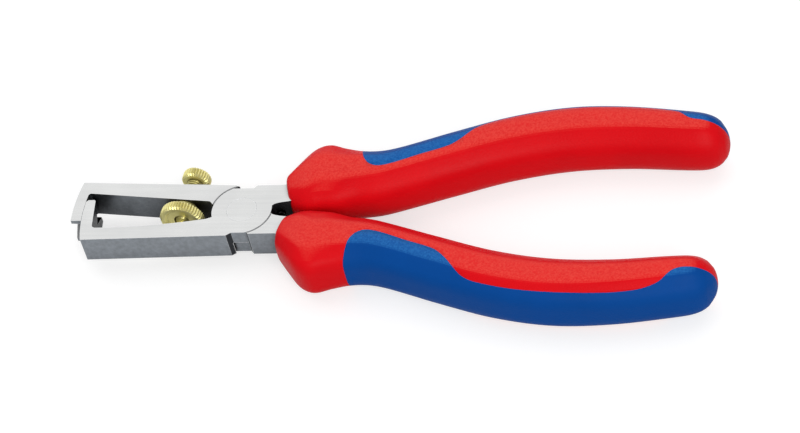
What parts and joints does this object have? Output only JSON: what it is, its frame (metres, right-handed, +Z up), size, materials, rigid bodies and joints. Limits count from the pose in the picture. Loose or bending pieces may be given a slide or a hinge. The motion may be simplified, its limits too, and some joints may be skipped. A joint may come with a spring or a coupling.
{
  "type": "wire stripping pliers",
  "caption": "Hand pliers that strip insulation off wire: crossed steel jaws with V notched end blades, a brass adjusting screw with lock nut, an opening spring and two-component grips.",
  "frame": {"origin": "middle of the underside of the bounding box, with the pliers lying flat on their grips", "axes": "+X from the stripping blades towards the handle ends, +Y towards the handle of the lower jaw half, +Z up out of the face that carries the countersunk rivet head seen in the picture"},
  "size_m": [0.1596, 0.0618, 0.015],
  "materials": {
    "jaw_steel": "satin",
    "rivet_steel": "satin",
    "spring_steel": "satin",
    "screw_brass": "satin",
    "grip_red": "satin",
    "inlay_blue": "matte"
  },
  "bodies": {
    "upper_jaw_half": {"upper_jaw_half": "jaw_steel", "pivot_rivet": "rivet_steel", "lower_grip": "grip_red", "lower_grip_inlay": "inlay_blue", "opening_spring": "spring_steel"},
    "lower_jaw_half": {"lower_jaw_half": "jaw_steel", "upper_grip": "grip_red", "upper_grip_inlay": "inlay_blue"},
    "screw_rod": {"adjusting_screw_rod": "screw_brass"},
    "screw_head": {"adjusting_screw_head": "screw_brass"},
    "lock_nut": {"lock_nut": "screw_brass"}
  },
  "joints": [
    {"name": "jaw_pivot", "type": "hinge", "parent": "upper_jaw_half", "child": "lower_jaw_half", "pos_m": [-0.03664, 0, 0.0075], "axis": [0, 0, 1], "range_deg": [-2.6, 27], "stiffness_Nm_per_rad": 0.4, "springref_deg": 25.78, "deforming": ["opening_spring"]},
    {"name": "screw_travel", "type": "slide", "parent": "upper_jaw_half", "child": "screw_rod", "axis": [0.1028, 0.9947, 0], "range_m": [-0.001, 0.0021]},
    {"name": "screw_turn", "type": "hinge", "parent": "screw_rod", "child": "screw_head", "pos_m": [-0.05221, 0.00358, 0.0075], "axis": [0.1028, 0.9947, 0], "range_deg": [-515, 1081]},
    {"name": "lock_nut_turn", "type": "hinge", "parent": "upper_jaw_half", "child": "lock_nut", "pos_m": [-0.05221, 0.00358, 0.0075], "axis": [0.1028, 0.9947, 0], "range_deg": [-180, 180]}
  ],
  "couplings": [
    {"joint": "screw_turn", "follows": "screw_travel", "rad_per_m": 8976}
  ]
}
